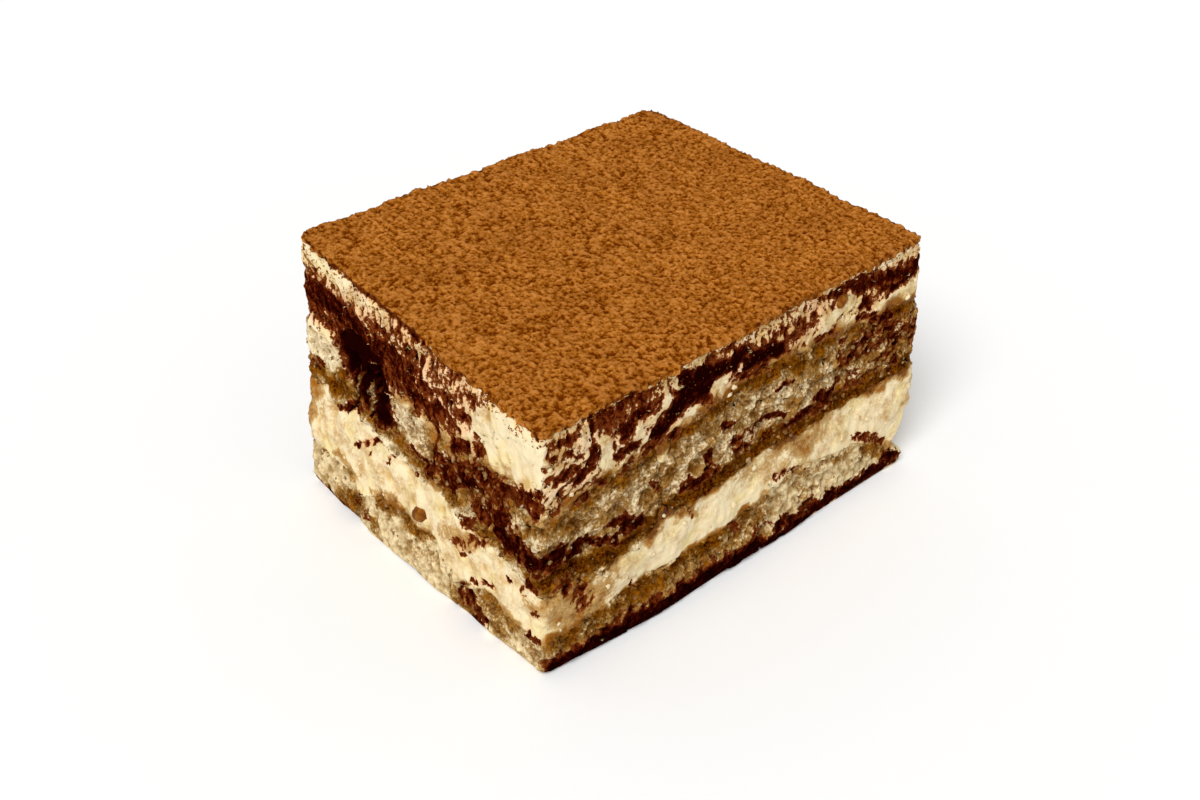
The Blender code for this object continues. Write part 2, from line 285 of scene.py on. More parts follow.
# Counts are per metre; colours run from a food's clean tone to its darkest
stainAndShadeLook = {
    "flecks": 1900,
    "fleckPush": 1.5,
    "pools": 300,
    "paler": (0.6, 0.5, 0.35),
    "richer": (1.8, 1.85, 1.3),
    "tan": (0.50, 0.25, 0.088),
    "rust": (0.150, 0.030, 0.005),
    "maroon": (0.052, 0.004, 0.0008),
    "black": (0.010, 0.0006, 0.0003),
}
crumbLook = {
    "warp": 900.0,
    "warpReach": 0.0011,
    "finer": 2.1,
    "dust": 1500.0,
    "lumps": 480.0,
    "poreShade": (0.40, 0.31, 0.19),
    "crumb": (0.92, 0.90, 0.85),
    "crest": (1.15, 1.17, 1.20),
}
creamLook = {
    "fresh": (0.85, 0.71, 0.45),
    "peach": (0.80, 0.625, 0.36),
    "deep": (0.62, 0.41, 0.15),
    "butter": (0.99, 0.97, 0.78),
    "damp": (0.47, 0.27, 0.085),
    "soaked": (0.18, 0.062, 0.005),
    "blush": (0.98, 0.77, 0.70),
    "grit": 0.6,
    "rough": 0.5,
    "stainedRough": 0.8,
    "gloss": 0.06,
    "glow": 0.1,
    "glowReach": 0.0006,
}
spongeLook = {
    "upperCrumb": (0.80, 0.66, 0.43),
    "lowerCrumb": (0.76, 0.61, 0.36),
    "damp": (0.35, 0.185, 0.048),
    "soaked": (0.15, 0.05, 0.0025),
    "grit": 1.0,
    "upperTexture": 0.75,
    "lowerTexture": 0.5,
    "pores": 1250.0,
    "poreShade": (0.35, 0.22, 0.08),
    "low": (0.58, 0.46, 0.30),
    "middle": (0.97, 0.96, 0.93),
    "high": (1.16, 1.16, 1.14),
    "rough": 0.85,
}
cocoaLook = {
    "crest": (0.55, 0.205, 0.040),
    "body": (0.345, 0.105, 0.0075),
    "dipShade": (0.15, 0.026, 0.0004),
    "damp": (0.085, 0.012, 0.002),
    "darker": (0.86, 0.83, 0.8),
    "lighter": (1.1, 1.13, 1.15),
    "rough": 0.95,
}
dropLook = {
    "dark": (0.10, 0.022, 0.001),
    "amber": (0.21, 0.064, 0.005),
    "gold": (0.31, 0.13, 0.012),
    "rough": 0.5,
    "gloss": 0.05,
}
looseLook = {
    "loose_crumb": ((0.10, 0.028, 0.002), (0.24, 0.12, 0.04), (0.42, 0.29, 0.14)),
    "cocoa_grain": ((0.03, 0.004, 0.001), (0.10, 0.024, 0.004), (0.24, 0.08, 0.014)),
    "cocoa_crumb": ((0.13, 0.026, 0.001), (0.27, 0.08, 0.007), (0.42, 0.155, 0.024)),
    "cream_lump": ((0.70, 0.52, 0.28), (0.79, 0.63, 0.38), (0.85, 0.71, 0.45)),
    "rough": 0.9,
}


# Coffee and cocoa taken up by a food, and painted shade. Soak turns it from clean through damp to soaked; stain
# lays rags of tan, rust and maroon over it, down to near black, and the same tones paint the shade in the gaps
# between the foods and in the hollow.
def makeStainAndShadeGroup():
    tree, given, out = newGroup(
        "coffee_stain_and_shade",
        [
            ("Clean", "Color", (0.8, 0.64, 0.37, 1)),
            ("Damp", "Color", (0.47, 0.27, 0.085, 1)),
            ("Soaked", "Color", (0.17, 0.07, 0.01, 1)),
            ("Soak", "Float", 0.0),
            ("StainAndShade", "Float", 0.0),
            ("Grit", "Float", 1.0),
            ("Place", "Vector", None),
        ],
        [("Color", "Color"), ("Dark", "Float")],
    )
    look = stainAndShadeLook
    flecks = cloud(tree, given["Place"], look["flecks"], 3.0, 0.6)
    pools = cloud(tree, given["Place"], look["pools"], 3.0)
    uneven = times(tree, minus(tree, flecks, 0.5), look["fleckPush"])
    nearStainAndShade = plus(tree, times(tree, given["StainAndShade"], 2.4), 0.08, clamp=True)
    nearSoak = plus(tree, times(tree, given["Soak"], 2.0), 0.15, clamp=True)
    mottled = plus(tree, times(tree, uneven, given["Grit"]), minus(tree, times(tree, pools, 1.5), 0.75))
    stainAndShade = plus(tree, given["StainAndShade"], times(tree, uneven, nearStainAndShade))
    soak = plus(tree, given["Soak"], times(tree, mottled, nearSoak))
    damp, wet, full, mask = (
        ranged(tree, value, low, high, kind="SMOOTHSTEP")
        for value, low, high in ((soak, 0.05, 0.4), (soak, 0.4, 0.8), (soak, 0.8, 1.3), (stainAndShade, 0.26, 0.5))
    )
    richness = ramp(tree, pools, ((0.36, look["paler"]), (0.64, look["richer"])))
    soaked = mixed(tree, 1.0, given["Soaked"], richness, "MULTIPLY")
    ground = mixed(tree, wet, mixed(tree, damp, given["Clean"], given["Damp"]), soaked)
    ground = mixed(tree, full, ground, look["maroon"])
    steps = ((0.20, "tan"), (0.36, "rust"), (0.48, "rust"), (0.68, "maroon"), (0.94, "black"))
    dark = ramp(tree, times(tree, stainAndShade, 0.7), [(position, look[tone]) for position, tone in steps])
    feed(tree, out, {"Color": mixed(tree, mask, ground, dark), "Dark": stainAndShade})
    return tree


# Open crumb of sponge: a height for bump, and a tone of painted shade and light that darkens its pores and lightens
# their walls
def makeCrumbGroup():
    tree, given, out = newGroup(
        "open_crumb",
        [("Place", "Vector", None), ("Pores", "Float", 1200.0)],
        [("Height", "Float"), ("Tone", "Color")],
    )
    look = crumbLook
    place = given["Place"]
    warp = add(tree, "ShaderNodeTexNoise", {"Vector": place, "Scale": look["warp"], "Detail": 2.0}).outputs["Color"]
    shift = add(tree, "ShaderNodeVectorMath", {0: warp, 1: (look["warpReach"],) * 3}, operation="MULTIPLY")
    moved = add(tree, "ShaderNodeVectorMath", {0: place, 1: shift.outputs[0]}, operation="ADD").outputs[0]
    pores, grains = (
        add(tree, "ShaderNodeTexVoronoi", {"Vector": moved, "Scale": count}, feature="F1").outputs["Distance"]
        for count in (given["Pores"], times(tree, given["Pores"], look["finer"]))
    )
    dust = cloud(tree, moved, look["dust"], 4.0, 0.7)
    lumps = cloud(tree, place, look["lumps"], 2.0)
    height = plus(tree, summed(tree, pores, 0.45, grains, 0.3), times(tree, minus(tree, dust, 0.5), 1.5))
    tone = ramp(
        tree,
        plus(tree, height, times(tree, minus(tree, lumps, 0.5), 0.55)),
        ((0.10, look["poreShade"]), (0.34, look["crumb"]), (0.62, look["crest"])),
    )
    feed(tree, out, {"Height": height, "Tone": tone})
    return tree


# Clumped fine powder, as a height
def makePowderGroup():
    tree, given, out = newGroup("fine_powder", [("Place", "Vector", None)], [("Height", "Float")])
    clumps = cloud(tree, given["Place"], 1900.0, 3.0, 0.6)
    dips = cloud(tree, given["Place"], 1100.0, 2.0, distortion=0.8)
    feed(tree, out, {"Height": minus(tree, clumps, times(tree, dips, 0.25))})
    return tree


stainAndShadeGroup = makeStainAndShadeGroup()
crumbGroup = makeCrumbGroup()
powderGroup = makePowderGroup()


# The colour of a food, with the soak, stain and painted shade that its mesh carries
def stainedAndShadedWith(tree, look, clean, place):
    inputs = {"Clean": clean, "Damp": look["damp"], "Soaked": look["soaked"], "Grit": look["grit"]}
    inputs |= {"Soak": attribute(tree, "soak"), "StainAndShade": attribute(tree, "stainAndShade"), "Place": place}
    return useGroup(tree, stainAndShadeGroup, inputs)


def cocoaMaterial():
    material, tree, shader = newMaterial("cocoa_powder")
    look = cocoaLook
    place = objectPlace(tree)
    powder = useGroup(tree, powderGroup, {"Place": place})["Height"]
    # painted shade and light: where the relief and the powder dip the cocoa is darker, on their crests lighter,
    # over its own tone
    both = summed(tree, attribute(tree, "crest"), 0.45, powder, 0.7)
    colour = ramp(tree, both, ((0.35, look["dipShade"]), (0.46, look["body"]), (0.61, look["crest"])))
    colour = mixed(tree, attribute(tree, "stainAndShade"), colour, look["damp"])
    tone = ramp(tree, cloud(tree, place, 140.0, 3.0), ((0.3, look["darker"]), (0.7, look["lighter"])))
    surface = {
        "Base Color": mixed(tree, 1.0, colour, tone, "MULTIPLY"),
        "Normal": bumped(tree, powder, 0.8, 0.0007),
        "Roughness": look["rough"],
        "Specular IOR Level": 0.0,
    }
    feed(tree, shader, surface)
    return material


def creamMaterial():
    material, tree, shader = newMaterial("mascarpone_cream")
    look = creamLook
    place = objectPlace(tree)
    folds = cloud(tree, place, 420.0, 4.0, 0.6, 0.6)
    # partly painted shade: the cream is deep tan in the dips between the strokes and fresh on their crests; the
    # folds add tone at random
    both = summed(tree, attribute(tree, "crest"), 0.6, folds, 0.4)
    clean = ramp(tree, both, ((0.27, look["deep"]), (0.39, look["peach"]), (0.51, look["fresh"])))
    yellow = ramp(tree, cloud(tree, place, 230.0, 3.0), ((0.48, (1.0, 1.0, 1.0)), (0.66, look["butter"])))
    clean = mixed(tree, 1.0, clean, yellow, "MULTIPLY")
    near = ranged(tree, attribute(tree, "near"), 0.12, 0.5)
    clean = mixed(tree, near, clean, look["blush"], "MULTIPLY")
    stainedAndShaded = stainedAndShadedWith(tree, look, clean, place)
    surface = {
        "Base Color": stainedAndShaded["Color"],
        "Normal": bumped(tree, cloud(tree, place, 1500.0, 3.0), 0.4, 0.0004),
        "Roughness": ranged(tree, stainedAndShaded["Dark"], 0.0, 0.8, look["rough"], look["stainedRough"]),
        "Specular IOR Level": ranged(tree, stainedAndShaded["Dark"], 0.0, 0.5, look["gloss"], 0.0),
        "Subsurface Weight": look["glow"],
        "Subsurface Radius": (1.0, 0.6, 0.3),
        "Subsurface Scale": look["glowReach"],
    }
    feed(tree, shader, surface)
    return material


def spongeMaterial(name, crumb, strength):
    material, tree, shader = newMaterial(name)
    look = spongeLook
    place = objectPlace(tree)
    texture = useGroup(tree, crumbGroup, {"Place": place, "Pores": look["pores"]})
    colour = stainedAndShadedWith(tree, look, crumb, place)["Color"]
    # painted shade in the crumb's pores and painted light on their walls
    colour = mixed(tree, strength, colour, texture["Tone"], "MULTIPLY")
    # painted shade and light: the sponge's low lumps are darker, its high lumps lighter
    stops = ((0.2, look["low"]), (0.5, look["middle"]), (0.8, look["high"]))
    colour = mixed(tree, 1.0, colour, ramp(tree, attribute(tree, "crest"), stops), "MULTIPLY")
    # painted shade in the sponge's holes, pits and tears
    shade = times(tree, attribute(tree, "poreShade"), 0.7, clamp=True)
    surface = {
        "Base Color": mixed(tree, shade, colour, mixed(tree, 1.0, colour, look["poreShade"], "MULTIPLY")),
        "Normal": bumped(tree, texture["Height"], 0.5, 0.0005),
        "Roughness": look["rough"],
        "Specular IOR Level": 0.0,
    }
    feed(tree, shader, surface)
    return material


def amberMaterial():
    material, tree, shader = newMaterial("caramel_drop")
    look = dropLook
    stops = ((0.3, look["dark"]), (0.5, look["amber"]), (0.7, look["gold"]))
    colour = ramp(tree, cloud(tree, objectPlace(tree), 900.0, 3.0), stops)
    feed(tree, shader, {"Base Color": colour, "Roughness": look["rough"], "Specular IOR Level": look["gloss"]})
    return material


def looseMaterial(name):
    material, tree, shader = newMaterial(name)
    place = objectPlace(tree)
    patches, grain = cloud(tree, place, 330.0, 2.0), cloud(tree, place, 3500.0, 2.0)
    both = summed(tree, patches, 0.7, grain, 0.3)
    colour = ramp(tree, both, tuple(zip((0.36, 0.5, 0.64), looseLook[name])))
    feed(tree, shader, {"Base Color": colour, "Roughness": looseLook["rough"], "Specular IOR Level": 0.0})
    return material


cocoa = cocoaMaterial()
amber = amberMaterial()
crumbs = looseMaterial("loose_crumb")
grains = looseMaterial("cocoa_grain")
dusting = looseMaterial("cocoa_crumb")
curds = looseMaterial("cream_lump")
cream = creamMaterial()
upperSponge = spongeMaterial("upper_sponge", spongeLook["upperCrumb"], spongeLook["upperTexture"])
lowerSponge = spongeMaterial("lower_sponge", spongeLook["lowerCrumb"], spongeLook["lowerTexture"])

# Smears on the two walls that the photograph shows: each is its line of points (mm from the front
# corner, height), its half width in mm and its strength. Stain of 0.25 is a few flecks, 0.45 lace, 0.7
# rust with gaps, 1 maroon and 1.3 black; a negative one is clean cream wiped over. The maroon and black
# smears over the hollow in the left wall are painted shade. Soak of 0.3 is damp, 0.7 soaked.
rightWall = {
    "stainAndShade": (
        (((0, 48.5), (8, 46), (12, 40), (4, 36), (0, 42)), 5.0, 0.33),
        (((12, 46.5), (24, 47.5), (45, 48), (62, 47.5), (85, 48.5)), 3.4, 0.47),
        (((36, 45.5), (50, 45), (60, 45.5)), 4.0, 0.52),
        (((19, 40), (24, 44), (27, 48)), 3.2, 0.48),
        (((0, 49.3), (11, 49.3), (22, 49.2), (45, 49.4), (85, 49.4)), 0.7, 0.62),
        (((2.8, 45.7), (4.6, 45.2)), 1.2, 0.95),
        (((1.3, 43.8), (1.7, 42.8)), 0.8, 0.95),
        (((4, 42.9), (4.6, 42.7)), 0.6, 0.9),
        (((5.6, 42.3), (6.6, 42.1)), 0.6, 0.9),
        (((1.8, 38.6), (3.4, 39.3), (5.2, 39.8)), 1.1, 1.0),
        (((6.2, 37.4), (8, 38.6), (9.6, 40.8)), 1.6, 1.05),
        (((12, 36.8), (12.2, 37.8)), 0.6, 0.95),
        (((14.4, 37), (17, 37.6), (19.4, 38)), 1.5, 1.05),
        (((13.9, 39.2), (13.9, 43)), 0.6, 0.85),
        (((16.4, 39.6), (17, 41.5)), 0.9, 0.9),
        (((11, 46.2), (15, 45.6), (20, 46.6), (22, 45)), 2.6, 0.85),
        (((15.5, 42.4), (19.5, 43.4)), 1.5, 1.15),
        (((22.4, 38.2), (27, 40.6), (31, 44)), 2.5, 1.5),
        (((30, 45.6), (35, 45.8), (40, 45.8)), 1.8, 1.2),
        (((29, 44.5), (33, 42.5), (34.5, 45), (40, 44.6)), 3.4, 1.5),
        (((30, 41), (36, 43), (40.5, 43.5)), 1.8, 1.15),
        (((34.6, 38), (34.4, 41)), 0.9, 0.85),
        (((20.5, 36), (27.5, 35.4)), 1.1, 0.7),
        (((41, 41), (43, 39.2), (47, 39.4)), 1.5, 0.85),
        (((44.5, 42.4), (48, 42)), 2.2, 1.25),
        (((49, 43.4), (50, 42.6)), 1.1, 1.15),
        (((50, 41.4), (55, 43), (59, 41.6)), 1.9, 0.8),
        (((61, 46.6), (66, 46.2), (71, 46)), 1.2, 0.9),
        (((61.5, 43.8), (66, 43)), 1.0, 0.6),
        (((70.5, 45.4), (76, 44.8), (81, 44.4), (86, 44)), 2.3, 1.2),
        (((60, 39), (61, 39.2)), 1.1, 1.0),
        (((63.2, 39), (64, 39.3)), 0.8, 0.9),
        (((71, 41.8), (73.6, 40.6)), 1.1, 1.0),
        (((70.6, 39), (74.4, 38.6)), 0.9, 0.95),
        (((74, 36.8), (78.4, 36)), 1.0, 1.0),
        (((11.2, 33.8), (12, 33.4)), 0.9, 0.9),
        (((6.6, 32), (8.4, 32.6)), 0.8, 0.8),
        (((2.2, 33), (3, 36.6)), 1.1, 0.65),
        (((16, 33.8), (19.5, 34.6)), 0.9, 0.7),
        (((0.5, 22.4), (3.2, 23)), 1.9, 1.15),
        (((4.8, 21), (6.2, 21.6)), 1.1, 1.05),
        (((7, 23), (9, 22.6), (11.4, 21.4), (14.2, 20.2)), 1.1, 1.05),
        (((12.6, 23.6), (14.6, 23.4)), 0.6, 0.9),
        (((16.2, 23), (17.4, 21.4), (19.4, 21.6)), 1.6, 1.15),
        (((21.8, 28), (23.6, 25.4)), 0.7, 0.7),
        (((28.6, 22.6), (30.4, 24.4)), 1.0, 1.0),
        (((31, 22.6), (34.6, 23.6), (36.6, 23)), 1.4, 0.95),
        (((34.8, 25), (35.4, 28)), 0.7, 1.1),
        (((38, 31.2), (41, 30.6)), 0.7, 1.05),
        (((40.5, 26.8), (44.5, 26.2)), 1.2, 0.6),
        (((41, 24.8), (44.2, 24)), 1.3, 0.85),
        (((46.4, 27.4), (50, 27.6), (53, 26.6)), 0.8, 0.95),
        (((50.8, 32.8), (53.4, 33.4)), 0.6, 0.9),
        (((53.6, 24), (59, 24.2), (64.6, 24.6)), 1.3, 0.98),
        (((61.4, 26.2), (65, 25.6)), 1.1, 1.0),
        (((66, 31), (72, 29.6)), 0.8, 0.75),
        (((73.6, 32.6), (73.8, 30.4)), 0.7, 0.95),
        (((77, 33.4), (82, 32.4), (85.6, 29)), 1.8, 0.72),
        (((78, 26), (82, 25)), 1.0, 0.6),
        (((68, 26), (76, 25.4), (85, 27)), 2.6, 0.36),
        (((68, 33), (76, 32), (85, 31)), 3.4, 0.62),
        (((3, 17), (6, 13.4), (8.6, 10.4)), 1.9, 0.56),
        (((18.6, 8.4), (19, 7.4)), 0.6, 0.95),
        (((31, 18), (31.3, 15.2)), 0.6, 0.4),
        (((51.4, 14.2), (53, 13.9)), 0.8, 0.62),
        (((55, 13.2), (57.6, 12.6)), 0.8, 0.62),
        (((40.8, 8.8), (42.4, 7.8)), 0.8, 0.8),
        (((0, 0.5), (20, 0.7), (34, 1.1), (46, 0.7)), 2.8, 1.3),
        (((46, 3.6), (49, 5)), 1.6, 0.6),
        (((52.4, 2.6), (57, 1.4), (60, 2.6)), 1.9, 0.9),
        (((62, 0.9), (74, 0.8), (81, 0.6)), 2.0, 1.25),
        (((72, 11.8), (77, 9.6), (81.6, 6.2)), 0.7, 0.75),
        (((82.4, 2.4), (86, 2.2)), 2.2, 1.05),
        (((11.6, 42), (12.6, 36), (12, 34.4)), 1.1, -0.8),
        (((18.6, 41.4), (20, 37)), 0.7, -0.8),
        (((20.6, 40.8), (22.6, 41)), 0.9, -0.6),
        (((20, 45.4), (28, 44.4)), 2.4, 0.72),
        (((23, 41), (24.6, 43.6)), 0.8, -0.5),
        (((25.6, 49), (26.8, 46)), 0.8, -0.3),
        (((36.2, 40.8), (37, 40)), 1.2, -1.4),
        (((29.2, 48.6), (32.4, 48)), 1.2, -0.8),
        (((25.8, 49), (27.2, 45.4)), 0.8, -1.3),
        (((24.6, 44.2), (24, 41), (19.6, 37.6)), 0.8, -0.8),
        (((41, 48.2), (48, 48.4), (56, 48.2)), 1.6, -0.2),
        (((42, 46.4), (48, 45.8), (54, 46.6)), 1.0, -0.25),
        (((33, 48.4), (37, 48.4), (42, 48.2)), 1.4, -0.55),
        (((34.5, 46), (41, 46.4)), 1.3, -0.8),
        (((40.5, 42.6), (46, 41.4), (50.5, 41.4)), 2.0, 1.5),
        (((10.5, 42), (16, 42), (22, 41.6), (28, 41.6)), 1.8, 0.75),
        (((22, 46.2), (27, 45.8)), 1.1, -0.35),
        (((42, 45.2), (50, 45.4)), 1.5, 0.65),
        (((50, 41.4), (60, 41.6)), 1.8, 0.6),
        (((60, 45.4), (72, 45.6)), 1.3, 0.55),
        (((60, 41), (72, 41)), 1.5, 0.2),
        (((73, 46.4), (84, 46.2)), 1.5, -0.55),
        (((72, 42.4), (78, 41.2), (84, 41.4)), 1.7, 1.4),
        (((2, 48.8), (10, 48.8)), 1.0, -0.45),
        (((60, 48.8), (72, 48.8)), 0.9, -0.4),
        (((15.5, 48.8), (27, 48.8)), 0.9, -0.35),
        (((43, 0.3), (54, 0.2), (64, 0.3)), 1.4, 1.3),
        (((40, 40), (48, 41.5), (56, 40.5)), 2.0, 0.5),
        (((41, 42.6), (41.4, 41)), 0.7, -1.0),
        (((57.6, 41), (62, 42), (67.4, 43.2)), 1.3, -0.4),
        (((73, 43), (75.6, 41), (80, 39)), 1.4, -0.9),
        (((80, 39.4), (86, 40.6)), 1.7, -1.2),
        (((78.6, 47.6), (79.6, 47)), 1.3, -0.7),
    ),
    "soak": (
        (((0, 27), (22, 27), (42, 31.5), (85, 31)), 10.0, 0.32),
        (((0, 44), (40, 45), (85, 45)), 7.0, 0.2),
        (((70, 33), (85, 29)), 6.5, 0.52),
        (((0, 31.5), (8, 32.4), (16, 32.6), (24, 34.2)), 2.6, 0.72),
        (((24, 34), (34, 36), (46, 37.6), (66, 37.4), (85, 36)), 2.3, 0.85),
        (((2, 29.6), (8, 27.6)), 1.4, 0.6),
        (((59, 35), (61, 31.4)), 1.6, 0.6),
        (((0, 19.4), (10, 17.6), (20, 18.9), (35, 20.9), (50, 22.6), (85, 22.8)), 2.3, 1.0),
        (((22, 22.6), (24, 26), (26.4, 28)), 2.0, 0.5),
        (((11, 16.4), (14, 14.6)), 1.3, 0.42),
        (((20.4, 18), (21.4, 16.4)), 1.0, 0.5),
        (((30.6, 18.4), (32, 16.4)), 1.5, 0.5),
        (((52, 21), (56, 18.6), (60, 17.4)), 2.4, 0.55),
        (((44, 19), (54, 17.5), (62, 18)), 4.0, 0.26),
        (((61, 20.6), (65.6, 19.4)), 1.7, 0.38),
        (((78, 21), (79.4, 19.6)), 1.1, 0.6),
        (((0, 19), (3, 14), (9, 10)), 4.6, 0.62),
        (((14, 13), (20, 9.6)), 0.5, 0.3),
        (((50, 15.4), (62, 13)), 2.4, 0.25),
        (((64, 17), (84, 16)), 5.0, 0.17),
        (((0, 2), (46, 3)), 4.6, 0.52),
        (((10, 12.5), (24, 13.6), (40, 16.4)), 3.6, 0.12),
        (((0, 6), (12, 6.2), (26, 6.6), (40, 7.4), (47, 9)), 1.8, 0.8),
        (((42, 2), (47, 6.4), (49, 10)), 2.6, 0.66),
        (((50, 6), (76, 7), (84, 3)), 5.0, 0.13),
        (((53, 12), (62, 10.6), (70, 10)), 1.2, 0.34),
        (((58, 7.4), (62, 4.4)), 1.4, 0.34),
        (((76, 8.4), (82, 4)), 1.7, 0.62),
    ),
}
